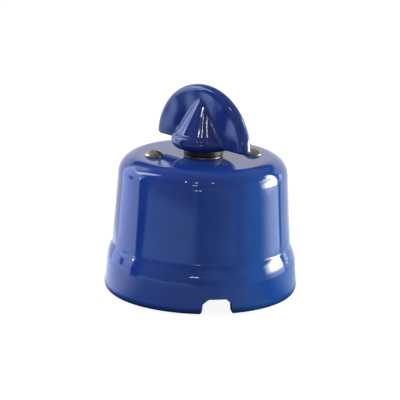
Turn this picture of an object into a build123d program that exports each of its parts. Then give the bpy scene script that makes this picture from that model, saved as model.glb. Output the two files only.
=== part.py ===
from build123d import *
from math import cos, radians, sin, tan
import os

# Porcelain rotary light switch for surface wiring, in millimetres.
# The wall is the plane z = 0, the spindle is the Z axis and the cable notch faces -Y.

# Cover
skirt_diameter = 65.4
skirt_lean = 0.75
skirt_height = 10.5
shoulder_height = 6.4
shoulder_step = 1.95
shoulder_fillet = 1.5
body_draft = 3.5
cover_height = 47.1
crown_round = 6.5
foot_round = 2.8
cover_wall = 4.0
crown_thickness = 4.3
crown_inner_round = 3.0
foot_clearance = 0.2

# Cable notch in the foot of the cover
notch_height = 5.8
notch_top_width = 5.8
notch_haunch_height = 4.2
notch_haunch_width = 9.7
notch_foot_width = 10.5
notch_mouth_round = 1.2
notch_corner_round = 0.6

# Base
base_height = 11.0
base_clearance = 0.4
base_edge = 0.5
slot_end_wall = 4.25
slot_side_wall = 1.6
slot_flare = 10.0
slot_round = 2.0
wall_screw_rim = 2.0
wall_screw_hole = 3.6
wall_screw_sink = 6.6

# Fits, on the radius or along the axis
running_fit = 0.05
thread_fit = 0.05
pass_fit = 0.35
end_gap = 0.3
rub_gap = 0.15

# Knob
fin_length = 43.0
fin_height = 20.1
fin_thickness = 4.4
fin_round = 2.0
fin_foot_round = 1.2
fin_lift = 1.15
fin_angle = -57.0
hub_diameter = 22.0
bead_diameter = 5.2
cone_height = 19.9
cone_angle = 32.5
hub_blend = 2.0
fin_blend = 1.6

# Spindle and what the knob turns on
spindle_diameter = 5.0
spindle_square = 3.5
pivot_diameter = 3.4
insert_diameter = 8.0
insert_length = 9.5
insert_end = 0.6
collar_diameter = 13.3
collar_height = 2.3
collar_edge = 0.3
ferrule_bore = 8.8
ferrule_wall = 0.75
ferrule_lip = 0.25
ferrule_lip_diameter = 13.3
ferrule_edge = 0.1
ferrule_roll_diameter = 12.0
bearing_diameter = 8.0
bearing_depth = 6.0
bearing_floor = 1.2
bearing_flange_diameter = 11.0
bearing_flange = 1.5
bush_diameter = 8.0
bush_flange_diameter = 12.0
bush_flange = 1.2
bush_stand = 2.0

# Rotor and contact blade
rotor_diameter = 14.4
rotor_web = 6.4
rotor_edge = 0.6
cap_height = 3.2
neck_wall = 0.8
rivet_diameter = 1.2
blade_thickness = 1.2
blade_width = 5.5
blade_clearance = 1.6
blade_eye_wall = 1.6
clip_diameter = 6.4
clip_thickness = 0.8
clip_groove = 0.4
clip_mouth = 2.0

# Fixed contacts and terminals
contact_count = 4
first_contact_angle = 45.0
jaw_thickness = 0.5
jaw_width = 5.6
jaw_gap = 0.08
jaw_rotor_gap = 1.0
jaw_tip_gap = 0.5
lip_length = 1.0
lip_rise = 0.5
block_length = 7.5
block_width = 7.5
block_edge = 0.5
block_gap = 0.4
wire_hole = 3.4
wire_depth = 4.0
wire_height = 3.8
wire_grip = 0.6
terminal_screw_inset = 2.2
block_screw_inset = 2.0
screw_diameter = 2.9
screw_head = 4.8
screw_head_height = 1.8
screw_slot = 0.7
screw_slot_depth = 0.8
screw_sink = 1.5
screw_engagement = 3.2

# Star wheel and its springs
star_diameter = 16.0
star_height = 4.0
star_notches = 4
notch_diameter = 8.0
notch_depth = 1.8
spring_thickness = 0.4
spring_height = 3.6
spring_clearance = 0.2
spring_free_end = 5.0
nose_width = 5.2
nose_round = 0.8
nose_gap = 0.1

# Bridge and pillars
pillar_inset = 11.5
pillar_diameter = 5.0
upper_pillar_flats = 5.5
bridge_thickness = 1.5
bridge_width = 7.5
bridge_eye_diameter = 15.0
tab_width = 5.0
tab_offset = 11.0
spring_rivet_diameter = 1.8
spring_rivet_head_diameter = 3.2
spring_rivet_head = 0.6
stud_diameter = 2.9
stud_stand = 2.2

# Cover screws
cover_screw_head = 6.5
cover_screw_rim = 0.35
cover_screw_dome = 1.5
cover_screw_slot = 0.7
cover_screw_slot_depth = 0.7
left_slot_angle = -16.0
right_slot_angle = -3.0

# Heights that follow from the sizes above, from the wall outwards
rotor_foot = base_height + bearing_flange + end_gap + clip_thickness
blade_foot = rotor_foot + rotor_web
rotor_top = blade_foot + blade_thickness
cap_top = rotor_top + cap_height
star_top = cap_top + star_height
bush_foot = star_top + end_gap
bridge_foot = bush_foot + bush_flange
bridge_top = bridge_foot + bridge_thickness
ceiling = cover_height - crown_thickness
collar_foot = cover_height + ferrule_lip + rub_gap
hub_foot = collar_foot + collar_height
spindle_top = hub_foot + insert_length - insert_end - end_gap
pivot_foot = base_height - bearing_depth + bearing_floor + rub_gap

# Radii that follow from the sizes above
skirt_inner = skirt_diameter / 2 - cover_wall
base_radius = skirt_inner - base_clearance
pillar_x = base_radius - pillar_inset
wall_screw_x = base_radius - wall_screw_rim - wall_screw_sink / 2
body_foot = skirt_height + shoulder_height
body_foot_radius = skirt_diameter / 2 - skirt_lean - shoulder_step
neck_radius = spindle_diameter / 2 + neck_wall
eye_radius = neck_radius + running_fit + blade_eye_wall
rotor_rivet_radius = (eye_radius + rotor_diameter / 2) / 2
blade_tip = pillar_x - pillar_diameter / 2 - blade_clearance
jaw_tip = rotor_diameter / 2 + jaw_rotor_gap
jaw_throat = blade_tip + jaw_tip_gap
block_inner = jaw_throat + jaw_thickness + block_gap
block_outer = block_inner + block_length
block_screw_radius = block_inner + block_screw_inset
block_top = blade_foot - jaw_gap - jaw_thickness
star_root = star_diameter / 2 - notch_depth
spring_face = star_diameter / 2 + spring_clearance


def rod(diameter, foot, top):
    return Pos(0, 0, foot) * Cylinder(diameter / 2, top - foot, align=(Align.CENTER, Align.CENTER, Align.MIN))


def bar(size, foot, top):
    return Pos(0, 0, foot) * Box(size, size, top - foot, align=(Align.CENTER, Align.CENTER, Align.MIN))


def turned(profile):
    return revolve(Plane.XZ * profile, Axis.Z)


def corner(profile, radius, height):
    return profile.vertices().sort_by_distance((radius, height, 0))[0]


def around(count, shape):
    return [Rot(0, 0, turn * 360 / count) * shape for turn in range(count)]


def body_radius(height):
    return body_foot_radius - (height - body_foot) * tan(radians(body_draft))


# The bell: skirt, rounded shoulder, slightly tapered body and flat crown
def cover():
    skirt_foot = (skirt_diameter / 2, foot_clearance)
    skirt_head = (skirt_diameter / 2 - skirt_lean, skirt_height)
    body_start = (body_foot_radius, body_foot)
    body_end = (body_radius(cover_height), cover_height)
    lean = (skirt_head[0] - skirt_foot[0], skirt_head[1] - skirt_foot[1])
    outline = Polyline((0, foot_clearance), skirt_foot, skirt_head)
    outline += TangentArc(skirt_head, body_start, tangent=lean)
    outline += Polyline(body_start, body_end, (0, cover_height), (0, foot_clearance))
    outer = make_face(outline)
    outer = fillet(corner(outer, *skirt_foot), foot_round)
    outer = fillet(corner(outer, *body_start), shoulder_fillet)
    outer = fillet(corner(outer, *body_end), crown_round)

    seat_radius = body_radius(base_height) - cover_wall
    ceiling_radius = body_radius(ceiling) - cover_wall
    inner = make_face(Polyline((0, -cover_wall), (skirt_inner, -cover_wall), (skirt_inner, base_height),
                               (seat_radius, base_height), (ceiling_radius, ceiling), (0, ceiling),
                               close=True))
    inner = fillet(corner(inner, ceiling_radius, ceiling), crown_inner_round)

    bell = turned(outer) - turned(inner) - cable_notch()
    bell -= rod(ferrule_bore + 2 * (ferrule_wall + thread_fit), 0, 2 * cover_height)
    for side in (-1, 1):
        bell -= Pos(side * pillar_x, 0, 0) * rod(screw_diameter + 2 * pass_fit, ceiling - end_gap, 2 * cover_height)
    return bell


# The notch is cut through the front of the skirt only
def cable_notch():
    mouth = notch_foot_width / 2 + 2 * notch_mouth_round
    left_side = [(-mouth, -cover_wall), (-mouth, foot_clearance), (-notch_foot_width / 2, foot_clearance),
                 (-notch_haunch_width / 2, notch_haunch_height), (-notch_top_width / 2, notch_height)]
    right_side = [(-across, height) for across, height in reversed(left_side)]
    rounds = [0, 0, notch_mouth_round, notch_corner_round, notch_corner_round]
    edge = FilletPolyline(*left_side, *right_side, radius=rounds + rounds[::-1], close=True)
    return extrude(Plane.XZ * make_face(edge), skirt_diameter)


# The base seats the cover on its rim and takes every fixing screw
def base():
    disc = rod(2 * base_radius, 0, base_height)
    disc = chamfer(disc.edges().filter_by(GeomType.CIRCLE).group_by(Axis.Z)[-1], base_edge)
    disc -= cable_slot()
    disc -= rod(bearing_diameter + 2 * thread_fit, base_height - bearing_depth, base_height)
    sink = (wall_screw_sink - wall_screw_hole) / 2
    for side in (-1, 1):
        hole = rod(wall_screw_hole, 0, base_height)
        hole += Pos(0, 0, base_height - sink / 2) * Cone(wall_screw_hole / 2, wall_screw_sink / 2, sink)
        disc -= Pos(side * wall_screw_x, 0, 0) * hole
        disc -= Pos(side * pillar_x, 0, 0) * screw_well()
    block_screw = Pos(block_screw_radius, 0, 0) * screw_well()
    for well in around(contact_count, block_screw):
        disc -= Rot(0, 0, first_contact_angle) * well
    return disc


# The slot behind the notch opens towards the rim and ends short of the bearing
def cable_slot():
    well_x = block_screw_radius * cos(radians(first_contact_angle))
    well_y = block_screw_radius * sin(radians(first_contact_angle))
    well_side = well_x - screw_head / 2 - pass_fit - slot_side_wall
    inner = bearing_diameter / 2 + thread_fit + slot_end_wall
    outer = 2 * base_radius
    inner_half = well_side + (inner - well_y) * tan(radians(slot_flare))
    outer_half = well_side + (outer - well_y) * tan(radians(slot_flare))
    slot = make_face(Polyline((-inner_half, -inner), (inner_half, -inner), (outer_half, -outer),
                              (-outer_half, -outer), close=True))
    slot = fillet(slot.vertices().group_by(Axis.Y)[-1], slot_round)
    return extrude(slot, base_height)


def screw_well():
    well = rod(screw_head + 2 * pass_fit, 0, screw_sink + screw_head_height)
    return well + rod(screw_diameter + 2 * pass_fit, 0, base_height)


# A cheese-head screw with its seat on z = 0 and its shank downwards
def cheese_screw(shank):
    head = rod(screw_head, 0, screw_head_height)
    head -= Pos(0, 0, screw_head_height) * Box(screw_head, screw_slot, 2 * screw_slot_depth)
    return head + rod(screw_diameter, -shank, 0)


# The same screw driven upwards from its well under the base
def upward_screw():
    seat = screw_sink + screw_head_height
    return Pos(0, 0, seat) * Rot(180, 0, 0) * cheese_screw(base_height - seat + screw_engagement)


def cover_screw(slot_angle):
    rim = cover_screw_head / 2
    outline = Polyline((0, cover_screw_rim + cover_screw_dome), (0, 0), (rim, 0), (rim, cover_screw_rim))
    dome_radius = (rim ** 2 + cover_screw_dome ** 2) / (2 * cover_screw_dome)
    outline += RadiusArc((rim, cover_screw_rim), (0, cover_screw_rim + cover_screw_dome), -dome_radius)
    head = turned(make_face(outline))
    slot_top = cover_screw_rim + cover_screw_dome
    head -= Pos(0, 0, slot_top) * Box(cover_screw_head, cover_screw_slot, 2 * cover_screw_slot_depth)
    head += rod(screw_diameter, -crown_thickness - screw_engagement, 0)
    return Pos(0, 0, cover_height) * Rot(0, 0, slot_angle) * head


# The thumb piece: a half-disc fin through a droplet of revolution
def knob():
    cone_radius = cone_height * tan(radians(cone_angle))
    bead_middle = (hub_diameter - bead_diameter) / 2
    cone = make_face(Polyline((0, 0), (cone_radius, 0), (0, cone_height), close=True))
    cone &= Pos(0, 3 / 4 * bead_diameter) * Rectangle(hub_diameter, cone_height, align=(Align.CENTER, Align.MIN))
    drop = cone + Pos(bead_middle, bead_diameter / 2) * Circle(bead_diameter / 2)
    drop += Pos(bead_middle / 2, bead_diameter / 2) * Rectangle(bead_middle, bead_diameter)
    waist = [point for point in drop.vertices() if point.X > 0 and point.Y > bead_diameter / 2]
    hub = turned(fillet(waist, hub_blend))

    arch = make_face(EllipticalCenterArc((0, 0), fin_length / 2, fin_height, 0, arc_size=180)
                     + Line((-fin_length / 2, 0), (fin_length / 2, 0)))
    fin = extrude(Plane.XZ * arch, fin_thickness / 2, both=True)
    fin = fillet(fin.edges().filter_by(GeomType.ELLIPSE), fin_round)
    fin = fillet(fin.faces().sort_by(Axis.Z)[0].edges(), fin_foot_round)
    body = hub + Pos(0, 0, fin_lift) * fin
    seam = [edge for edge in body.edges() if on_seam(edge.center())]
    body = fillet(seam, fin_blend)
    body -= rod(insert_diameter + 2 * thread_fit, 0, insert_length + rub_gap)
    return Pos(0, 0, hub_foot) * Rot(0, 0, fin_angle) * body


# The lines where the droplet meets the flat faces of the fin
def on_seam(middle):
    beside_fin = abs(abs(middle.Y) - fin_thickness / 2) < fin_round / 4
    return beside_fin and abs(middle.X) < hub_diameter / 2 and middle.Z > fin_lift + fin_foot_round


def knob_insert():
    bush = rod(insert_diameter, 0, insert_length)
    bush -= rod(spindle_diameter + 2 * thread_fit, 0, insert_length - insert_end)
    return Pos(0, 0, hub_foot) * bush


def thrust_collar():
    ring = rod(collar_diameter, collar_foot, hub_foot)
    ring = fillet(ring.edges().filter_by(GeomType.CIRCLE), collar_edge)
    return ring - rod(spindle_diameter + 2 * thread_fit, 0, hub_foot)


# An eyelet: a thin tube with a lip outside and a roll inside the cover
def hole_ferrule():
    tube = rod(ferrule_bore + 2 * ferrule_wall, ceiling - ferrule_lip, cover_height + ferrule_lip)
    lip = rod(ferrule_lip_diameter, cover_height, cover_height + ferrule_lip)
    tube += fillet(lip.edges().filter_by(GeomType.CIRCLE).group_by(Axis.Z)[-1], ferrule_edge)
    tube += rod(ferrule_roll_diameter, ceiling - ferrule_lip, ceiling)
    return tube - rod(ferrule_bore, 0, 2 * cover_height)


# Round above, square through the rotor and star, and a thin pivot below
def spindle():
    shaft = rod(spindle_diameter, star_top, spindle_top)
    shaft += bar(spindle_square, rotor_foot, star_top)
    shaft += rod(pivot_diameter, pivot_foot, rotor_foot)
    groove = rod(2 * pivot_diameter, rotor_foot - clip_thickness, rotor_foot)
    groove -= rod(pivot_diameter - 2 * clip_groove, 0, rotor_foot)
    return shaft - groove


def square_hole(foot, top):
    return bar(spindle_square + 2 * running_fit, foot, top)


def lower_bearing():
    cup = rod(bearing_diameter, base_height - bearing_depth, base_height)
    cup += rod(bearing_flange_diameter, base_height, base_height + bearing_flange)
    return cup - rod(pivot_diameter + 2 * running_fit, pivot_foot - rub_gap, 2 * base_height)


def upper_bush():
    bush = rod(bush_flange_diameter, bush_foot, bridge_foot)
    bush += rod(bush_diameter, bridge_foot, bridge_top + bush_stand)
    return bush - rod(spindle_diameter + 2 * running_fit, 0, cover_height)


# The rotor's neck passes through the blade's eye and keeps the spindle dead
def blade_outline(grow):
    blade = SlotOverall(2 * blade_tip, blade_width + 2 * grow)
    return blade + Circle(eye_radius + grow)


def rotor():
    drum = rod(rotor_diameter, rotor_foot, rotor_top)
    drum = chamfer(drum.edges().filter_by(GeomType.CIRCLE).group_by(Axis.Z)[0], rotor_edge)
    drum -= Pos(0, 0, blade_foot) * extrude(blade_outline(running_fit), blade_thickness)
    drum += rod(2 * neck_radius, blade_foot, rotor_top)
    drum -= rotor_rivet_holes()
    return Rot(0, 0, first_contact_angle) * drum - square_hole(rotor_foot, rotor_top)


def rotor_cap():
    cap = rod(rotor_diameter, rotor_top, cap_top)
    cap = chamfer(cap.edges().filter_by(GeomType.CIRCLE).group_by(Axis.Z)[-1], rotor_edge)
    cap -= rotor_rivet_holes()
    return Rot(0, 0, first_contact_angle) * cap - square_hole(rotor_top, cap_top)


def rotor_rivet_holes():
    hole = Pos(0, rotor_rivet_radius, 0) * rod(rivet_diameter + 2 * thread_fit, rotor_foot, cap_top)
    return hole + Rot(0, 0, 180) * hole


def rotor_rivet():
    return Pos(0, rotor_rivet_radius, 0) * rod(rivet_diameter, rotor_foot, cap_top)


def contact_blade():
    blade = extrude(blade_outline(0), blade_thickness)
    blade -= rod(2 * (neck_radius + running_fit), 0, blade_thickness)
    return Pos(0, 0, blade_foot) * Rot(0, 0, first_contact_angle) * blade


def rotor_clip():
    clip = rod(clip_diameter, rotor_foot - clip_thickness, rotor_foot)
    clip -= rod(pivot_diameter - 2 * clip_groove + 2 * thread_fit, 0, rotor_foot)
    return clip - Pos(clip_diameter / 2, 0, rotor_foot) * Box(clip_diameter, clip_mouth, 4 * clip_thickness)


# Thin strip bent along a line of points, seen from its edge
def strip(points, bend, thickness, plane, width):
    return extrude(plane * trace(FilletPolyline(*points, radius=bend), thickness), width / 2, both=True)


# The two leaves of a contact lie on the block and grip the blade's tip
def lower_jaw():
    level = block_top + jaw_thickness / 2
    points = [(block_outer - block_edge, level), (jaw_tip + lip_length, level), (jaw_tip, level - lip_rise)]
    return strip(points, jaw_thickness, jaw_thickness, Plane.XZ, jaw_width) - terminal_hole(pass_fit)


def upper_jaw():
    tail_level = block_top + 3 / 2 * jaw_thickness
    jaw_level = rotor_top + jaw_gap + jaw_thickness / 2
    web = jaw_throat + jaw_thickness / 2
    points = [(block_outer - block_edge, tail_level), (web + jaw_thickness, tail_level), (web, jaw_level),
              (jaw_tip + lip_length, jaw_level), (jaw_tip, jaw_level + lip_rise)]
    return strip(points, jaw_thickness, jaw_thickness, Plane.XZ, jaw_width) - terminal_hole(pass_fit)


def terminal_hole(fit):
    foot = base_height + wire_height
    return Pos(block_outer - terminal_screw_inset, 0, 0) * rod(screw_diameter + 2 * fit, foot, bridge_foot)


def terminal_block():
    middle = (block_inner + block_outer) / 2
    block = Pos(middle, 0, (base_height + block_top) / 2) * Box(block_length, block_width, block_top - base_height)
    block = chamfer(block.edges().filter_by(Axis.Z), block_edge)
    wire = Rot(0, 90, 0) * rod(wire_hole, block_outer - wire_depth, block_outer)
    block -= Pos(0, 0, base_height + wire_height) * wire
    block -= terminal_hole(thread_fit)
    tapping = rod(screw_diameter + 2 * thread_fit, base_height, base_height + screw_engagement + end_gap)
    return block - Pos(block_screw_radius, 0, 0) * tapping


def terminal_screw():
    seat = block_top + 2 * jaw_thickness
    wire_top = base_height + wire_height + wire_hole / 2
    return Pos(block_outer - terminal_screw_inset, 0, seat) * cheese_screw(seat - wire_top + wire_grip)


def star_wheel():
    star = Circle(star_diameter / 2)
    for notch in around(star_notches, Pos(star_root + notch_diameter / 2, 0) * Circle(notch_diameter / 2)):
        star -= notch
    star = fillet(star.vertices(), nose_round)
    return Pos(0, 0, cap_top) * extrude(star, star_height) - square_hole(cap_top, star_top)


# A leaf along X with a nose that drops into the star's notch
def detent_spring():
    level = spring_face + spring_thickness / 2
    nose_tip = star_root + nose_gap + spring_thickness / 2
    points = [(tab_offset + tab_width / 2, level), (nose_width / 2, level), (0, nose_tip),
              (-nose_width / 2, level), (-spring_free_end, level)]
    leaf = strip(points, nose_round, spring_thickness, Plane.XY, spring_height)
    return Pos(0, 0, (cap_top + star_top) / 2) * leaf - spring_rivet_hole()


def spring_rivet_hole():
    hole = Rot(-90, 0, 0) * rod(spring_rivet_diameter + 2 * thread_fit, 0, base_radius)
    return Pos(tab_offset, 0, (cap_top + star_top) / 2) * hole


def spring_rivet():
    inner = spring_face
    outer = spring_face + spring_thickness + bridge_thickness
    rivet = rod(spring_rivet_diameter, inner, outer)
    rivet += rod(spring_rivet_head_diameter, inner - spring_rivet_head, inner)
    rivet += rod(spring_rivet_head_diameter, outer, outer + spring_rivet_head)
    return Pos(tab_offset, 0, (cap_top + star_top) / 2) * Rot(-90, 0, 0) * rivet


# A flat strap from pillar to pillar with a turned-down tab for each spring
def bridge():
    strap = SlotCenterToCenter(2 * pillar_x, bridge_width) + Circle(bridge_eye_diameter / 2)
    plate = Pos(0, 0, bridge_foot) * extrude(strap, bridge_thickness)
    level = bridge_foot + bridge_thickness / 2
    drop = spring_face + spring_thickness + bridge_thickness / 2
    tab_foot = (cap_top + star_top - spring_height) / 2
    points = [(0, level), (drop, level), (drop, tab_foot)]
    tab = Pos(tab_offset, 0, 0) * strip(points, bridge_thickness, bridge_thickness, Plane.YZ, tab_width)
    tab -= spring_rivet_hole()
    plate += [tab, Rot(0, 0, 180) * tab]
    plate -= rod(bush_diameter + 2 * thread_fit, bridge_foot, bridge_top)
    stud_hole = rod(stud_diameter + 2 * rub_gap, bridge_foot, bridge_top)
    return plate - [Pos(pillar_x, 0, 0) * stud_hole, Pos(-pillar_x, 0, 0) * stud_hole]


def pillar():
    post = rod(pillar_diameter, base_height, bridge_foot)
    post += rod(stud_diameter, bridge_foot, bridge_top + stud_stand)
    return post - rod(screw_diameter + 2 * thread_fit, base_height, base_height + screw_engagement + end_gap)


def upper_pillar():
    hexagon = RegularPolygon(upper_pillar_flats / 2, 6, major_radius=False)
    post = Pos(0, 0, bridge_top) * extrude(hexagon, ceiling - bridge_top)
    post -= rod(stud_diameter + 2 * thread_fit, bridge_top, bridge_top + stud_stand + end_gap)
    return post - rod(screw_diameter + 2 * thread_fit, ceiling - screw_engagement - end_gap, ceiling)


def left(shape):
    return Pos(-pillar_x, 0, 0) * shape


def right(shape):
    return Pos(pillar_x, 0, 0) * shape


# The four contacts stand on the diagonals
def contacts(shape):
    return around(contact_count, Rot(0, 0, first_contact_angle) * shape)


pieces = {
    "porcelain_cover": cover(),
    "porcelain_base": base(),
    "knob": knob(),
    "knob_insert": knob_insert(),
    "thrust_collar": thrust_collar(),
    "hole_ferrule": hole_ferrule(),
    "cover_screw_left": left(cover_screw(left_slot_angle)),
    "cover_screw_right": right(cover_screw(right_slot_angle)),
    "spindle": spindle(),
    "lower_bearing": lower_bearing(),
    "upper_bush": upper_bush(),
    "rotor": rotor(),
    "rotor_cap": rotor_cap(),
    "rotor_rivets": Compound(around(2, Rot(0, 0, first_contact_angle) * rotor_rivet())),
    "rotor_clip": rotor_clip(),
    "contact_blade": contact_blade(),
    "terminal_screws": Compound(contacts(terminal_screw())),
    "block_screws": Compound(contacts(Pos(block_screw_radius, 0, 0) * upward_screw())),
    "star_wheel": star_wheel(),
    "detent_spring_rear": detent_spring(),
    "detent_spring_front": Rot(0, 0, 180) * detent_spring(),
    "spring_rivets": Compound(around(2, spring_rivet())),
    "bridge": bridge(),
    "pillar_left": left(pillar()),
    "pillar_right": right(pillar()),
    "upper_pillar_left": left(upper_pillar()),
    "upper_pillar_right": right(upper_pillar()),
    "pillar_screws": Compound([left(upward_screw()), right(upward_screw())]),
}
for name, make in (("lower_jaw", lower_jaw), ("upper_jaw", upper_jaw), ("terminal_block", terminal_block)):
    for number, shape in enumerate(contacts(make()), 1):
        pieces[f"{name}_{number}"] = shape

os.makedirs("parts", exist_ok=True)
for name, piece in pieces.items():
    export_step(piece, f"parts/{name}.step")
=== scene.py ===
import bpy
import math
from mathutils import Matrix, Vector


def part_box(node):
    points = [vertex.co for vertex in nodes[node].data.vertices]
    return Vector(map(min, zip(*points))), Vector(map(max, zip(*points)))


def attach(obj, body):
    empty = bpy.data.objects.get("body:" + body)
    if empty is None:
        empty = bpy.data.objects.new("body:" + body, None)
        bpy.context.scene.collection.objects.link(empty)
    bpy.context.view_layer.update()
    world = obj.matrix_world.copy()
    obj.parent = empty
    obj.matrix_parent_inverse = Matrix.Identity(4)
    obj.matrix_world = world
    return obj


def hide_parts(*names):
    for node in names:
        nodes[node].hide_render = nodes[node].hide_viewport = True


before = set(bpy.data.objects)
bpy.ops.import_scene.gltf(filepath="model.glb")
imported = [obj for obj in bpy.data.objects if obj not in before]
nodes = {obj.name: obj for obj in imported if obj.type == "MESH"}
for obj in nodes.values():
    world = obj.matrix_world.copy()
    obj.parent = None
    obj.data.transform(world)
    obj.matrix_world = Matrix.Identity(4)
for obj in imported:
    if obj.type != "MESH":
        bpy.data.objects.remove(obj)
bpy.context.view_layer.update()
scene = bpy.context.scene
scene.view_settings.view_transform = "Standard"
print("frame loaded:", len(nodes), "nodes")


# a node socket that can be used in plain sums, in shader and geometry trees alike
class Wire:
    def __init__(self, tree, socket=None):
        self.tree = tree
        self.socket = socket

    def node(self, kind, settings=None, values=None, out=0):  # adds any node, and gives one of its outputs
        made = self.tree.nodes.new(kind if "Node" in kind else "ShaderNode" + kind)
        for name, value in (settings or {}).items():
            setattr(made, name, value)
        for name, value in (values or {}).items():
            for single in value if isinstance(value, list) else [value]:
                if isinstance(single, Wire):
                    self.tree.links.new(single.socket, made.inputs[name])
                else:
                    made.inputs[name].default_value = single
        return Wire(self.tree, made.outputs[out] if made.outputs else None)

    def other(self, out):  # another output of the same node
        return Wire(self.tree, self.socket.node.outputs[out])

    def maths(self, operation, first, second=0.0):
        return self.node("Math", {"operation": operation}, {0: first, 1: second})

    def __add__(self, other):
        return self.maths("ADD", self, other)

    def __sub__(self, other):
        return self.maths("SUBTRACT", self, other)

    def __rsub__(self, other):
        return self.maths("SUBTRACT", other, self)

    def __mul__(self, other):
        return self.maths("MULTIPLY", self, other)

    def __truediv__(self, other):
        return self.maths("DIVIDE", self, other)

    def __pow__(self, other):
        return self.maths("POWER", self, other)

    def __neg__(self):
        return self.maths("MULTIPLY", self, -1.0)

    def __abs__(self):
        return self.maths("ABSOLUTE", self)

    __radd__ = __add__
    __rmul__ = __mul__

    def top(self, other):  # the larger of two values
        return self.maths("MAXIMUM", self, other)

    def ramp(self, low, high):  # 0 below low, 1 above high, straight between
        return self.node("MapRange", {}, {"Value": self, "From Min": low, "From Max": high})

    def rise(self, low, high):  # 0 below low, 1 above high, soft between
        return self.node("MapRange", {"interpolation_type": "SMOOTHSTEP"},
                         {"Value": self, "From Min": low, "From Max": high})

    def fall(self, low, high):  # 1 below low, 0 above high, soft between
        return 1 - self.rise(low, high)

    def band(self, low, high, soft):  # 1 between low and high
        return self.rise(low - soft, low + soft) * self.fall(high - soft, high + soft)

    def blend(self, first, second):  # mixes two colours by this value
        return self.node("Mix", {"data_type": "RGBA"}, {0: self, 6: first, 7: second}, out=2)

    def tint(self, colour):  # a colour scaled by this value
        return self.node("VectorMath", {"operation": "SCALE"}, {0: colour, "Scale": self})

    def joined(self, other):  # two colours or vectors added
        return self.node("VectorMath", {"operation": "ADD"}, {0: self, 1: other})

    def parts(self):  # x, y and z of a vector
        split = self.node("SeparateXYZ", {}, {"Vector": self})
        return [split.other(letter) for letter in "XYZ"]

    def noise(self, scale, detail=2.0, distortion=0.0):  # this is the place that it is read at
        return self.node("TexNoise", {}, {"Vector": self, "Scale": scale, "Detail": detail,
                                          "Distortion": distortion})

    def cells(self, scale):  # distance to the nearest of many scattered points
        return self.node("TexVoronoi", {}, {"Vector": self, "Scale": scale}, out="Distance")


noiseMiddle = 0.5  # noise swings about this


def fromAxis(x, y):  # distance from the upright axis
    return (x * x + y * y) ** 0.5


def rgb(red, green, blue):
    return (red, green, blue, 1.0)


def newPaint(name):
    material = bpy.data.materials.new(name)
    material.use_nodes = True
    material.node_tree.nodes.clear()
    return material, Wire(material.node_tree)


def painted(material, paint, colour, roughness, height, depth, metallic=0.0):
    bump = paint.node("Bump", {}, {"Height": height, "Distance": depth})
    surface = paint.node("BsdfPrincipled", {}, {"Base Color": colour, "Metallic": metallic,
                                                "Roughness": roughness, "Normal": bump})
    paint.node("OutputMaterial", {}, {"Surface": surface})
    return material


def coat(nodeNames, material):
    for name in nodeNames:
        for slot in nodes[name].material_slots:
            slot.material = material


# white porcelain, bare on the base and inside the bell
porcelain = {
    "cream": rgb(0.80, 0.78, 0.73),
    "white": rgb(0.86, 0.85, 0.81),
    "cloudScale": 120.0,
    "cloudDetail": 4.0,
    "cloudEdge": (0.3, 0.7),
    "speck": rgb(0.45, 0.38, 0.30),
    "speckScale": 900.0,
    "speckEdge": (0.03, 0.10),
    "speckShare": 0.5,
    "speckDepth": 0.2,
    "roughness": 0.3,
    "cloudRoughness": 0.15,
    "depth": 0.00003,
}


def bareBody(place):  # colour, roughness and height of bare porcelain
    cloud = place.noise(porcelain["cloudScale"], porcelain["cloudDetail"])
    mask = cloud.rise(*porcelain["cloudEdge"])
    specks = place.cells(porcelain["speckScale"]).fall(*porcelain["speckEdge"])
    clay = mask.blend(porcelain["cream"], porcelain["white"])
    colour = (specks * porcelain["speckShare"]).blend(clay, porcelain["speck"])
    roughness = mask * porcelain["cloudRoughness"] + porcelain["roughness"]
    return colour, roughness, cloud - specks * porcelain["speckDepth"]


def whitePorcelain():
    material, paint = newPaint("whitePorcelain")
    colour, roughness, height = bareBody(paint.node("TexCoord", out="Object"))
    return painted(material, paint, colour, roughness, height, porcelain["depth"])


# cobalt glaze: deep in the body, thin and paler on the crown and rims, and darkened at each piece's foot as painted
# shade
coverGlaze = {
    "deep": rgb(0.0175, 0.066, 0.355),
    "thin": rgb(0.032, 0.096, 0.455),
    "thinHeight": (0.0440, 0.0468),
    "thinShare": 0.3,
    # painted shade: darker at the foot, where the bell stands on the table
    "footShade": rgb(0.011, 0.044, 0.25),
    "footShadeHeight": (0.0, 0.0035),
    "roughness": 0.045,
    "cloudScale": 70.0,
    "waveScale": 55.0,
    "waveDepth": 0.00012,
    # bare within these distances from the axis and below these heights
    "bodyBore": (0.0268, 0.0270),
    "ceiling": (0.0429, 0.0430),
    "skirtBore": (0.02875, 0.02885),
    "skirtSeat": (0.0110, 0.0111),
    "footRing": (0.00016, 0.00026),
}
# a darker copy of the cover's glaze: painted shade, as the knob gets less light from above than the bell
shadedKnobGlaze = {
    "deep": rgb(0.0165, 0.046, 0.25),
    "thin": rgb(0.025, 0.066, 0.31),
    "thinHeight": (0.0600, 0.0712),
    "thinShare": 0.5,
    # painted shade: darker at the hub's foot, where the knob stands on the crown
    "footShade": rgb(0.010, 0.024, 0.12),
    "footShadeHeight": (0.0500, 0.0535),
    "roughness": 0.05,
    "cloudScale": 90.0,
    "waveScale": 75.0,
    "waveDepth": 0.00038,
    "bodyBore": (0.0042, 0.0044),
    "ceiling": (0.0596, 0.0597),
    # the knob has no skirt and no foot ring
    "skirtBore": (-0.0001, 0.0),
    "skirtSeat": (-0.0001, 0.0),
    "footRing": (-0.0001, 0.0),
}
bothGlazes = {
    "cloudDetail": 3.0,
    "cloudEdge": (0.35, 0.75),
    "cloudShare": 0.4,
    "cloudRoughness": 0.02,
    "pitScale": 420.0,
    "pitEdge": (0.0, 0.09),
    "pitShare": 0.5,
    "pitRoughness": 0.2,
    "pitDepth": 0.02,
    "waveDetail": 1.0,
    "bareDepth": 0.3,
}


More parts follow.
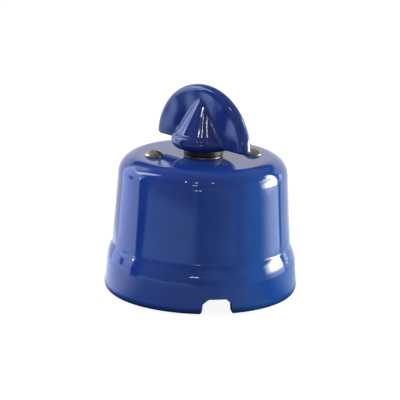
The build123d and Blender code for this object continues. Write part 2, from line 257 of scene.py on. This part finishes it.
def blueGlaze(name, glaze):
    glaze = {**glaze, **bothGlazes}
    material, paint = newPaint(name)
    place = paint.node("TexCoord", out="Object")
    x, y, z = place.parts()
    radius = fromAxis(x, y)
    bareColour, bareRoughness, bareHeight = bareBody(place)
    bore = radius.fall(*glaze["bodyBore"]) * z.fall(*glaze["ceiling"])
    skirt = radius.fall(*glaze["skirtBore"]) * z.fall(*glaze["skirtSeat"])
    bare = bore.top(skirt).top(z.fall(*glaze["footRing"]))
    cloud = place.noise(glaze["cloudScale"], glaze["cloudDetail"])
    pits = place.cells(glaze["pitScale"]).fall(*glaze["pitEdge"])
    thin = z.rise(*glaze["thinHeight"]) * glaze["thinShare"]
    thin = thin.top(cloud.rise(*glaze["cloudEdge"]) * glaze["cloudShare"])
    blue = (thin * (1 - pits * glaze["pitShare"])).blend(glaze["deep"], glaze["thin"])
    # painted shade: darker towards the foot of the piece
    blue = z.rise(*glaze["footShadeHeight"]).blend(glaze["footShade"], blue)
    gloss = (cloud - noiseMiddle) * glaze["cloudRoughness"] + pits * glaze["pitRoughness"] + glaze["roughness"]
    relief = place.noise(glaze["waveScale"], glaze["waveDetail"]) - pits * glaze["pitDepth"]
    return painted(material, paint, bare.blend(blue, bareColour), gloss * (1 - bare) + bareRoughness * bare,
                   relief * (1 - bare) + bareHeight * bare * glaze["bareDepth"], glaze["waveDepth"])


# turned or rolled metal
metals = {
    "dullBrass": {"bright": rgb(0.46, 0.40, 0.30), "dull": rgb(0.20, 0.17, 0.12),
                  "roughness": 0.34, "grain": 1500.0},
    "brass": {"bright": rgb(0.72, 0.53, 0.22), "dull": rgb(0.50, 0.36, 0.15),
              "roughness": 0.20, "grain": 2000.0},
    "bronzeLeaf": {"bright": rgb(0.62, 0.38, 0.20), "dull": rgb(0.45, 0.27, 0.14),
                   "roughness": 0.28, "grain": 1500.0},
    "steel": {"bright": rgb(0.55, 0.55, 0.56), "dull": rgb(0.42, 0.42, 0.42),
              "roughness": 0.25, "grain": 1800.0},
    "springSteel": {"bright": rgb(0.30, 0.32, 0.38), "dull": rgb(0.20, 0.21, 0.26),
                    "roughness": 0.25, "grain": 1600.0},
}
allMetals = {
    "spotScale": 600.0,
    "spotDetail": 4.0,
    "spotEdge": (0.38, 0.62),
    "spotRoughness": 0.15,
    "grainDepth": 0.00001,
}


def metal(name):
    finish = {**metals[name], **allMetals}
    material, paint = newPaint(name)
    place = paint.node("TexCoord", out="Object")
    mask = place.noise(finish["spotScale"], finish["spotDetail"]).rise(*finish["spotEdge"])
    roughness = mask * finish["spotRoughness"] + finish["roughness"]
    return painted(material, paint, mask.blend(finish["bright"], finish["dull"]), roughness,
                   place.noise(finish["grain"]), finish["grainDepth"], metallic=1.0)


# a screw's metal: rings from the lathe, dark in the slot and towards the rim
screwMetals = {
    "agedBrass": {"bright": rgb(0.62, 0.57, 0.39), "dull": rgb(0.46, 0.42, 0.26),
                  "dark": rgb(0.10, 0.09, 0.05), "roughness": 0.22},
    "screwBrass": {"bright": rgb(0.68, 0.50, 0.21), "dull": rgb(0.48, 0.35, 0.15),
                   "dark": rgb(0.10, 0.07, 0.03), "roughness": 0.2},
    "screwSteel": {"bright": rgb(0.52, 0.52, 0.53), "dull": rgb(0.38, 0.37, 0.36),
                   "dark": rgb(0.09, 0.07, 0.06), "roughness": 0.25},
}
allScrewMetals = {
    "spotScale": 900.0,
    "spotDetail": 4.0,
    "spotEdge": (0.35, 0.65),
    "spotRoughness": 0.12,
    "ringPitch": 0.00016,
    "ringWander": 0.00004,
    "ringShare": 0.3,
    "rimReach": (0.55, 1.0),  # shares of the head's radius
    "rimShare": 0.6,
    "rimPatches": (0.3, 0.6),
    "slotReach": (0.55, 0.75),
    "slotHeight": (0.35, 0.62),  # shares of the head's height
    "grimeRoughness": 0.2,
    "depth": 0.000006,
}


def screwMetal(name, screw):
    finish = {**screwMetals[name], **allScrewMetals}
    material, paint = newPaint(name)
    own = paint.node("Attribute", {"attribute_name": "ownPlace"}, out="Vector")
    x, y, z = own.parts()
    radius = fromAxis(x, y)
    reach = radius / screw["Head radius"]
    height = z / (screw["Rim"] + screw["Dome"])
    spots = own.noise(finish["spotScale"], finish["spotDetail"])
    mask = spots.rise(*finish["spotEdge"])
    rings = paint.maths("SINE", (radius + spots * finish["ringWander"]) * (math.tau / finish["ringPitch"]))
    rim = reach.rise(*finish["rimReach"]) * finish["rimShare"] * spots.rise(*finish["rimPatches"])
    grime = rim.top(height.fall(*finish["slotHeight"]) * reach.fall(*finish["slotReach"]))
    roughness = mask * finish["spotRoughness"] + grime * finish["grimeRoughness"] + finish["roughness"]
    colour = grime.blend(mask.blend(finish["bright"], finish["dull"]), finish["dark"])
    return painted(material, paint, colour, roughness, rings * finish["ringShare"] + spots, finish["depth"],
                   metallic=1.0)


# brown moulding of the collar and the rotor
moulding = {
    "dark": rgb(0.016, 0.010, 0.009),
    "pale": rgb(0.040, 0.020, 0.014),
    "swirlScale": 260.0,
    "swirlDetail": 5.0,
    "swirlBend": 1.5,
    "swirlEdge": (0.35, 0.7),
    "roughness": 0.42,
    "swirlRoughness": 0.15,
    "depth": 0.00002,
}


def brownMoulding():
    material, paint = newPaint("brownMoulding")
    place = paint.node("TexCoord", out="Object")
    swirl = place.noise(moulding["swirlScale"], moulding["swirlDetail"], moulding["swirlBend"])
    mask = swirl.rise(*moulding["swirlEdge"])
    roughness = mask * moulding["swirlRoughness"] + moulding["roughness"]
    return painted(material, paint, mask.blend(moulding["dark"], moulding["pale"]), roughness, swirl,
                   moulding["depth"])


contactNumbers = range(1, 5)
coat(["porcelain_cover"], blueGlaze("coverGlaze", coverGlaze))
# the knob's glaze is the darker copy with painted shade
coat(["knob"], blueGlaze("shadedKnobGlaze", shadedKnobGlaze))
coat(["porcelain_base"], whitePorcelain())
coat(["thrust_collar", "rotor", "rotor_cap"], brownMoulding())
coat(["hole_ferrule"], metal("dullBrass"))
coat(["knob_insert", "lower_bearing", "upper_bush", "contact_blade",
      "pillar_left", "pillar_right", "upper_pillar_left", "upper_pillar_right", "rotor_rivets"]
     + [f"terminal_block_{n}" for n in contactNumbers], metal("brass"))
coat([f"{kind}_jaw_{n}" for kind in ("lower", "upper") for n in contactNumbers], metal("bronzeLeaf"))
coat(["spindle", "bridge", "star_wheel", "spring_rivets"], metal("steel"))
coat(["detent_spring_front", "detent_spring_rear", "rotor_clip"], metal("springSteel"))
print("finishes on the packed nodes")


# slotted screws: a turned head with a milled slot, and a threaded shank
screwInputs = [("Places", "Geometry"), ("Head radius", "Float"), ("Rim", "Float"), ("Dome", "Float"),
               ("Slot width", "Float"), ("Slot depth", "Float"), ("Shank radius", "Float"),
               ("Shank length", "Float"), ("Pitch", "Float"), ("Thread depth", "Float"),
               ("Segments", "Int"), ("Finish", "Material")]
screwCut = {
    "headRows": 41,
    "underEnd": 0.1,  # shares of the way from under the head to the top of its dome
    "rimEnd": 0.2,
    "slotLength": 2.2,  # of the head's radius
    "sharpAngle": 40,
    "shankRows": 97,
    "pointEnd": 0.06,  # share of the way up the shank
    "pointRadius": 0.65,  # of the shank's radius
    "closedEnd": 0.001,
    "weld": 1e-6,
    "bevel": 0.00006,
    "bevelSteps": 2,
    "smoothAngle": 35,
}


def screwTree():
    tree = bpy.data.node_groups.new("slottedScrews", "GeometryNodeTree")
    tree.interface.new_socket("Screws", in_out="OUTPUT", socket_type="NodeSocketGeometry")
    keys = {name: tree.interface.new_socket(name, in_out="INPUT", socket_type="NodeSocket" + kind).identifier
            for name, kind in screwInputs}
    wire = Wire(tree)
    given = {socket.name: Wire(tree, socket) for socket in tree.nodes.new("NodeGroupInput").outputs}

    def lathe(rows):  # a flat sheet to be rolled up, and its two directions from 0 to 1
        sheet = wire.node("GeometryNodeMeshGrid", {}, {"Size X": 1.0, "Size Y": 1.0,
                                                       "Vertices X": given["Segments"], "Vertices Y": rows})
        across, along = wire.node("GeometryNodeInputPosition").parts()[:2]
        return sheet, across + 0.5, along + 0.5

    def roll(sheet, around, radius, height):
        angle = around * math.tau
        place = wire.node("CombineXYZ", {}, {"X": radius * wire.maths("COSINE", angle),
                                             "Y": radius * wire.maths("SINE", angle), "Z": height})
        rolled = wire.node("GeometryNodeSetPosition", {}, {"Geometry": sheet, "Position": place})
        return wire.node("GeometryNodeMergeByDistance", {}, {"Geometry": rolled, "Distance": screwCut["weld"]})

    # head: flat under, straight rim, then a dome
    sheet, around, along = lathe(screwCut["headRows"])
    dome = given["Dome"]
    ball = (given["Head radius"] ** 2 + dome ** 2) / (dome * 2)
    lean = wire.maths("ARCSINE", given["Head radius"] / ball) * (1 - along.ramp(screwCut["rimEnd"], 1.0))
    radius = along.ramp(0.0, screwCut["underEnd"]) * ball * wire.maths("SINE", lean)
    rim = along.ramp(screwCut["underEnd"], screwCut["rimEnd"]) * given["Rim"]
    head = roll(sheet, around, radius, rim + dome - ball * (1 - wire.maths("COSINE", lean)))
    slotSize = wire.node("CombineXYZ", {}, {"X": given["Head radius"] * screwCut["slotLength"],
                                            "Y": given["Slot width"], "Z": given["Slot depth"] * 2})
    slotPlace = wire.node("CombineXYZ", {}, {"Z": given["Rim"] + dome})
    blade = wire.node("GeometryNodeMeshCube", {}, {"Size": slotSize})
    blade = wire.node("GeometryNodeTransform", {}, {"Geometry": blade, "Translation": slotPlace})
    head = wire.node("GeometryNodeMeshBoolean", {"operation": "DIFFERENCE", "solver": "EXACT"},
                     {"Mesh 1": head, "Mesh 2": blade})
    sharp = wire.maths("GREATER_THAN", wire.node("GeometryNodeInputMeshEdgeAngle"),
                       math.radians(screwCut["sharpAngle"]))
    head = wire.node("GeometryNodeStoreNamedAttribute", {"data_type": "FLOAT", "domain": "EDGE"},
                     {"Geometry": head, "Name": "bevel_weight_edge", "Value": sharp})

    # shank: a ridge that climbs one pitch a turn, and a blunt point
    sheet, around, along = lathe(screwCut["shankRows"])
    drop = (along - 1) * given["Shank length"]
    ridge = wire.maths("PINGPONG", drop / given["Pitch"] - around, 0.5) * 2
    point = along.ramp(0.0, screwCut["pointEnd"]) * (1 - screwCut["pointRadius"]) + screwCut["pointRadius"]
    ends = wire.maths("GREATER_THAN", along, screwCut["closedEnd"]) \
        * wire.maths("LESS_THAN", along, 1 - screwCut["closedEnd"])
    thread = given["Shank radius"] - given["Thread depth"] * (1 - ridge)
    shank = roll(sheet, around, thread * point * ends, drop)

    screw = wire.node("GeometryNodeJoinGeometry", {}, {"Geometry": [head, shank]})
    screw = wire.node("GeometryNodeStoreNamedAttribute", {"data_type": "FLOAT_VECTOR", "domain": "POINT"},
                      {"Geometry": screw, "Name": "ownPlace", "Value": wire.node("GeometryNodeInputPosition")})
    stance = wire.node("GeometryNodeInputNamedAttribute", {"data_type": "FLOAT_VECTOR"}, {"Name": "stance"})
    turned = wire.node("FunctionNodeEulerToRotation", {}, {"Euler": stance})
    screws = wire.node("GeometryNodeInstanceOnPoints", {}, {"Points": given["Places"], "Instance": screw,
                                                            "Rotation": turned})
    real = wire.node("GeometryNodeRealizeInstances", {}, {"Geometry": screws})
    done = wire.node("GeometryNodeSetMaterial", {}, {"Geometry": real, "Material": given["Finish"]})
    tree.links.new(done.socket, tree.nodes.new("NodeGroupOutput").inputs[0])
    return tree, keys


screwNodes, screwKeys = screwTree()


def screws(name, kit, places, stances, replaced, slot):
    points = bpy.data.meshes.new(name + "Places")
    points.from_pydata(places, [], [])
    angles = [angle for stance in stances for angle in stance]
    points.attributes.new("stance", "FLOAT_VECTOR", "POINT").data.foreach_set("vector", angles)
    holder = bpy.data.objects.new(name + "Holder", points)
    scene.collection.objects.link(holder)
    maker = holder.modifiers.new("screws", "NODES")
    maker.node_group = screwNodes
    for size, value in kit.items():
        maker[screwKeys[size]] = value
    edge = holder.modifiers.new("edge", "BEVEL")
    edge.width = screwCut["bevel"]
    edge.segments = screwCut["bevelSteps"]
    edge.limit_method = "WEIGHT"
    mesh = bpy.data.meshes.new_from_object(holder.evaluated_get(bpy.context.evaluated_depsgraph_get()))
    holder.modifiers.clear()
    bpy.data.objects.remove(holder)
    mesh.name = name
    mesh.materials.clear()
    mesh.materials.append(kit["Finish"])
    mesh.polygons.foreach_set("material_index", [0] * len(mesh.polygons))
    mesh.shade_smooth()
    mesh.set_sharp_from_angle(angle=math.radians(screwCut["smoothAngle"]))
    piece = bpy.data.objects.new(name, mesh)
    scene.collection.objects.link(piece)
    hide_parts(*replaced)
    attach(piece, "housing")
    print(name, len(mesh.polygons), "faces")


# domed brass screws in the crown
coverScrew = {
    "Head radius": 0.00325,
    "Rim": 0.00035,
    "Dome": 0.0015,
    "Slot width": 0.0007,
    "Slot depth": 0.0007,
    "Shank radius": 0.00145,
    "Shank length": 0.0075,
    "Pitch": 0.0005,
    "Thread depth": 0.0003,
    "Segments": 65,
}
coverScrewTurns = (-16, -3)


def coverScrews():
    replaced = ["cover_screw_left", "cover_screw_right"]
    places = []
    for name in replaced:
        low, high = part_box(name)
        places.append(((low[0] + high[0]) / 2, (low[1] + high[1]) / 2,
                       high[2] - coverScrew["Rim"] - coverScrew["Dome"]))
    stances = [(0, 0, math.radians(turn)) for turn in coverScrewTurns]
    kit = {**coverScrew, "Finish": screwMetal("agedBrass", coverScrew)}
    screws("coverScrews", kit, places, stances, replaced, "aged_brass")


# cheese-head screws of the terminals, and those driven upwards from under the base
cheeseScrew = {
    "Head radius": 0.0024,
    "Rim": 0.00165,
    "Dome": 0.00015,
    "Slot width": 0.0007,
    "Slot depth": 0.0008,
    "Shank radius": 0.00145,
    "Pitch": 0.0005,
    "Thread depth": 0.0003,
    "Segments": 41,
}
cheeseTurns = (38, -25, 71, 8)
fourCorners = [(1, 1), (-1, 1), (-1, -1), (1, -1)]
twoSides = [(-1, 0), (1, 0)]


def cheeseScrews(name, node, corners, upward, finish, slot):
    low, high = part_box(node)
    head = cheeseScrew["Rim"] + cheeseScrew["Dome"]
    seat = low[2] + head if upward else high[2] - head
    reach = Vector((high[0] - cheeseScrew["Head radius"], high[1] - cheeseScrew["Head radius"]))
    places = [(reach.x * across, reach.y * along, seat) for across, along in corners]
    stances = [(math.pi if upward else 0, 0, math.radians(turn)) for turn in cheeseTurns[:len(corners)]]
    length = high[2] - seat if upward else seat - low[2]
    screws(name, {**cheeseScrew, "Shank length": length, "Finish": finish}, places, stances, [node], slot)


screwBrass = screwMetal("screwBrass", cheeseScrew)
screwSteel = screwMetal("screwSteel", cheeseScrew)
coverScrews()
cheeseScrews("terminalScrews", "terminal_screws", fourCorners, False, screwBrass, "brass")
cheeseScrews("blockScrews", "block_screws", fourCorners, True, screwSteel, "steel")
cheeseScrews("pillarScrews", "pillar_screws", twoSides, True, screwSteel, "steel")
print("screws in place")


# studio: white sweep behind, cool panels on the left, a bright window on the right, dim room in front
# turns are degrees from the front to the right, tilts are degrees upwards, and a third number is softness
studio = {
    "front": {"light": (0.26, 0.24, 0.25), "turn": (-22, 52, 12), "patches": (0.3, 0.7), "least": 0.5},
    "leftFront": {"light": (0.28, 0.26, 0.34), "start": (-94, -82), "end": (-32, -18)},
    "leftPanel": {"light": (1.60, 1.90, 2.85), "turn": (-150, -104, 1.4), "top": (26, 33),
                  "lift": (0, 15), "liftShare": 0.25},
    "leftStrip": {"light": (7.0, 7.6, 9.0), "turn": (-147, -134, 3), "tilt": (27, 53, 4), "slant": 0.6},
    "rearLeft": {"light": (1.6, 1.6, 1.6), "turn": (-156, -132, 4), "tilt": (27, 47, 4)},
    "behind": {"light": (1.0, 1.0, 1.0), "gap": (-150, 118, 3), "top": (21, 29)},
    "leaves": {"light": (3.0, 3.2, 3.4), "turn": (115, 126, 1.5), "tilt": (-6, 9, 2),
               "scale": 34.0, "edge": (0.46, 0.54)},
    "rightGlow": {"light": (2.6, 3.0, 3.2), "start": (69, 96), "end": (110, 114), "top": (20, 40),
                  "dim": (0, 8), "dimShare": 0.7},
    "rightWindow": {"light": (12.0, 12.2, 9.0), "start": (100, 107), "end": (106, 111),
                    "foot": (2, 9), "top": (28, 34), "lean": (16, 24), "leanTurn": 7},
    "rightFront": {"light": (0.20, 0.40, 0.50), "turn": (50, 76, 9)},
    "ceilingFront": {"light": (0.30, 0.19, 0.13)},
    "ceilingBack": {"light": (0.25, 0.31, 0.48)},
}
room = {
    "unevenScale": 2.6,
    "wobble": 18.0,
    "wallTop": (24, 38),
    "ceilingStart": (28, 44),
    "rearStart": (60, 100),
    "shrubTurn": (-127.5, -119.5, 1.5),
    "shrubTilt": (-2, 9, 2),
    "leafShade": 0.85,
}


def surroundings():
    world = bpy.data.worlds.new("studio")
    scene.world = world
    world.use_nodes = True
    world.node_tree.nodes.clear()
    paint = Wire(world.node_tree)
    direction = paint.node("TexCoord", out="Generated")
    across, along, height = direction.parts()
    turn = paint.maths("ARCTAN2", across, -along) * math.degrees(1)
    tilt = paint.maths("ARCSINE", height) * math.degrees(1)
    uneven = direction.noise(room["unevenScale"])
    loose = turn + (uneven - noiseMiddle) * (2 * room["wobble"])
    low = tilt.fall(*room["wallTop"])
    high = tilt.rise(*room["ceilingStart"])
    rear = abs(turn).rise(*room["rearStart"])
    shrub = turn.band(*room["shrubTurn"]) * tilt.band(*room["shrubTilt"])
    hedge = turn.band(*studio["leaves"]["turn"]) * tilt.band(*studio["leaves"]["tilt"])
    leaf = direction.noise(studio["leaves"]["scale"]).rise(*studio["leaves"]["edge"])
    front, panel, strip = studio["front"], studio["leftPanel"], studio["leftStrip"]
    glow, window = studio["rightGlow"], studio["rightWindow"]
    leaning = turn + tilt.rise(*window["lean"]) * window["leanTurn"]
    shapes = {
        "front": loose.band(*front["turn"]) * low * (uneven.rise(*front["patches"]) + front["least"]),
        "leftFront": turn.rise(*studio["leftFront"]["start"]) * loose.fall(*studio["leftFront"]["end"]) * low,
        "leftPanel": turn.band(*panel["turn"]) * tilt.fall(*panel["top"])
        * (tilt.rise(*panel["lift"]) * panel["liftShare"] + 1) * (1 - shrub * room["leafShade"]),
        "leftStrip": (turn - tilt * strip["slant"]).band(*strip["turn"]) * tilt.band(*strip["tilt"]),
        "rearLeft": turn.band(*studio["rearLeft"]["turn"]) * tilt.band(*studio["rearLeft"]["tilt"]),
        "behind": (1 - turn.band(*studio["behind"]["gap"])) * tilt.fall(*studio["behind"]["top"])
        * (1 - hedge * (1 - leaf) * room["leafShade"]),
        "leaves": hedge * leaf,
        "rightGlow": turn.rise(*glow["start"]) * turn.fall(*glow["end"]) * tilt.fall(*glow["top"])
        * (1 - tilt.rise(*glow["dim"]) * glow["dimShare"]),
        "rightWindow": leaning.rise(*window["start"]) ** 2 * turn.fall(*window["end"])
        * tilt.rise(*window["foot"]) * tilt.fall(*window["top"]),
        "rightFront": turn.band(*studio["rightFront"]["turn"]) * low,
        "ceilingFront": high * (1 - rear),
        "ceilingBack": high * rear,
    }
    light = paint.node("CombineXYZ")
    for name, shape in shapes.items():
        light = light.joined(shape.tint(studio[name]["light"]))
    rays = paint.node("LightPath", out="Is Camera Ray")
    seen = rays.top(rays.other("Is Transmission Ray"))
    shown = paint.node("Background", {}, {"Color": seen.blend(light, rgb(1, 1, 1)), "Strength": 1.0})
    paint.node("OutputWorld", {}, {"Surface": shown})


# the table as the eye sees it, as the gloss mirrors it, and as it throws light back
table = {
    "radius": 0.6,
    "sides": 72,
    "level": -0.00002,  # just clear of the foot
    "white": 0.92,
    "shadow": rgb(0.22, 0.22, 0.22),
    "bounce": rgb(0.63, 0.62, 0.57),
    "contact": (0.031, 0.042),
    "mirrorEdge": (0.085, 0.12),
    "mirrorLeft": {"light": (1.40, 1.50, 1.95), "turn": (-160, -80, 15)},
    "mirrorRight": {"light": (0.66, 0.86, 0.90), "turn": (75, 160, 15)},
    "mirrorFront": {"light": (0.34, 0.40, 0.50), "turn": (-80, 45, 15)},
    # a sheet of paper on its left front
    "paper": rgb(0.56, 0.82, 1.35),
    "paperStart": (-86, -80),
    "paperEnd": (-26, -12),
    "paperEdge": (0.255, 0.305),
}


def floor():
    steps = [math.tau * n / table["sides"] for n in range(table["sides"])]
    points = [(table["radius"] * math.cos(step), table["radius"] * math.sin(step), table["level"]) for step in steps]
    mesh = bpy.data.meshes.new("floor")
    mesh.from_pydata(points, [], [range(table["sides"])])
    disc = bpy.data.objects.new("floor", mesh)
    scene.collection.objects.link(disc)
    material, paint = newPaint("floor")
    x, y = paint.node("TexCoord", out="Object").parts()[:2]
    radius = fromAxis(x, y)
    turn = paint.maths("ARCTAN2", x, -y) * math.degrees(1)
    mirrored = paint.node("CombineXYZ")
    for side in ("mirrorLeft", "mirrorRight", "mirrorFront"):
        mirrored = mirrored.joined(turn.band(*table[side]["turn"]).tint(table[side]["light"]))
    rays = paint.node("LightPath", out="Is Camera Ray")
    seen = rays.top(rays.other("Is Transmission Ray"))
    matt = paint.node("BsdfDiffuse", {}, {"Color": seen.blend(table["bounce"], table["shadow"])})
    white = paint.node("Emission", {}, {"Color": rgb(1, 1, 1), "Strength": seen * table["white"]})
    plain = paint.node("AddShader", {}, {0: matt, 1: white})
    glow = paint.node("Emission", {}, {"Color": mirrored, "Strength": radius.rise(*table["contact"])})
    spread = turn.rise(*table["paperStart"]) * turn.fall(*table["paperEnd"]) * radius.fall(*table["paperEdge"])
    paper = paint.node("Emission", {}, {"Color": table["paper"], "Strength": 1.0})
    beyond = paint.node("MixShader", {}, {0: spread, 1: paint.node("BsdfTransparent"), 2: paper})
    gloss = paint.node("MixShader", {}, {0: radius.fall(*table["mirrorEdge"]), 1: beyond, 2: glow})
    surface = paint.node("MixShader", {}, {0: rays.other("Is Glossy Ray"), 1: plain, 2: gloss})
    paint.node("OutputMaterial", {}, {"Surface": surface})
    mesh.materials.append(material)


# softboxes on the right, bright in the middle and fading to their sides, seen only in the gloss
softboxes = {
    "softboxSkirt": {
        "centre": (0.210, -0.0195, 0.0435),
        "halfWidth": 0.0655,
        "halfHeight": 0.0425,
        "leftFade": (-0.05, 0.61),  # shares of its width
        "topFade": (0.7, 1.0),  # shares of its height
        "light": (27.0, 26.5, 20.0),
    },
    "softboxCrown": {
        "centre": (0.048, -0.0215, 0.0515),
        "halfWidth": 0.0135,
        "halfHeight": 0.0085,
        "leftFade": (-0.05, 0.65),
        "topFade": (0.85, 1.0),
        "light": (10.5, 10.7, 9.2),
    },
}
softboxEdges = {
    "rightFade": (0.92, 1.0),
    "footFade": (0.0, 0.35),
}


def softbox(name, panel):
    wide, tall = panel["halfWidth"], panel["halfHeight"]
    centreX, centreY, centreZ = panel["centre"]
    left, right = centreY - wide, centreY + wide
    foot, top = centreZ - tall, centreZ + tall
    mesh = bpy.data.meshes.new(name)
    mesh.from_pydata([(centreX, left, foot), (centreX, left, top), (centreX, right, top), (centreX, right, foot)],
                     [], [range(4)])
    screen = bpy.data.objects.new(name, mesh)
    scene.collection.objects.link(screen)
    material, paint = newPaint(name)
    y, z = paint.node("TexCoord", out="Object").parts()[1:]
    across = y.ramp(left, right)
    along = z.ramp(foot, top)
    fade = across.rise(*panel["leftFade"]) * across.fall(*softboxEdges["rightFade"])
    fade = fade * along.rise(*softboxEdges["footFade"]) * along.fall(*panel["topFade"])
    front = 1 - paint.node("NewGeometry", out="Backfacing")
    shine = paint.node("Emission", {}, {"Color": (fade * front).tint(panel["light"]), "Strength": 1.0})
    clear = paint.node("BsdfTransparent")
    paint.node("OutputMaterial", {}, {"Surface": paint.node("AddShader", {}, {0: shine, 1: clear})})
    mesh.materials.append(material)
    screen.visible_camera = False
    screen.visible_diffuse = False
    screen.visible_shadow = False


def heading(turn, tilt):  # a direction from the object: turn from the front to the right, tilt upwards
    around, up = math.radians(turn), math.radians(tilt)
    return Vector((math.sin(around) * math.cos(up), -math.cos(around) * math.cos(up), math.sin(up)))


# brightness is that of a lamp's face, and a fill light has a colour
lamps = {
    "fillRight": {"turn": 86, "tilt": 4, "distance": 0.50, "width": 0.25, "height": 0.20, "brightness": 13.0,
                  "fill": (0.75, 1.35, 1.0)},
    "lampHigh": {"turn": -40, "tilt": 52, "distance": 0.80, "width": 0.045, "height": 0.03, "brightness": 50.0},
    "lampMiddle": {"turn": -22, "tilt": 36, "distance": 0.80, "width": 0.07, "height": 0.02, "brightness": 25.0},
    "lampCamera": {"turn": -17, "tilt": 8, "distance": 0.30, "width": 0.055, "height": 0.008, "brightness": 18.0},
    "lampFrontLeft": {"turn": -21, "tilt": 52, "distance": 0.80, "width": 0.03, "height": 0.03, "brightness": 20.0},
    "lampFrontRight": {"turn": 7, "tilt": 51, "distance": 0.80, "width": 0.03, "height": 0.03, "brightness": 20.0},
    "lampLeft": {"turn": -105, "tilt": 16, "distance": 0.80, "width": 0.032, "height": 0.032, "brightness": 18.0},
}
lampAim = Vector((0, 0, 0.03))


def lamp(name, turn, tilt, distance, width, height, brightness, fill=None):
    light = bpy.data.lights.new(name, "AREA")
    light.shape = "RECTANGLE"
    light.size = width
    light.size_y = height
    light.energy = brightness * math.pi * width * height
    stand = bpy.data.objects.new(name, light)
    scene.collection.objects.link(stand)
    towards = heading(turn, tilt)
    stand.location = lampAim + towards * distance
    stand.rotation_euler = towards.to_track_quat("Z", "Y").to_euler()
    stand.visible_camera = False
    if fill:  # kept out of the gloss
        light.color = fill
        stand.visible_glossy = False


surroundings()
floor()
for name, panel in softboxes.items():
    softbox(name, panel)
for name, spot in lamps.items():
    lamp(name, **spot)
print("studio lit by", len(lamps), "lamps and", len(softboxes), "softboxes")


# camera fitted to the photograph
view = {
    "turn": -10.5,
    "tilt": 14.693,
    "roll": 1.497,
    "distance": 1.0,
    "lens": 266.9,
    "sensor": 36,
    "nearest": 0.01,
    "aim": (-0.0007, 0.0004, 0.0312),
}


def camera():
    data = bpy.data.cameras.new("camera")
    data.sensor_width = view["sensor"]
    data.lens = view["lens"]
    data.clip_start = view["nearest"]
    eye = bpy.data.objects.new("camera", data)
    scene.collection.objects.link(eye)
    towards = heading(view["turn"], view["tilt"])
    side = Vector((0, 0, 1)).cross(towards).normalized()
    upright = Matrix((side, towards.cross(side), towards)).transposed()
    turned = upright @ Matrix.Rotation(math.radians(view["roll"]), 3, "Z")
    eye.matrix_world = Matrix.Translation(Vector(view["aim"]) + towards * view["distance"]) @ turned.to_4x4()
    scene.camera = eye


camera()
print("camera set")
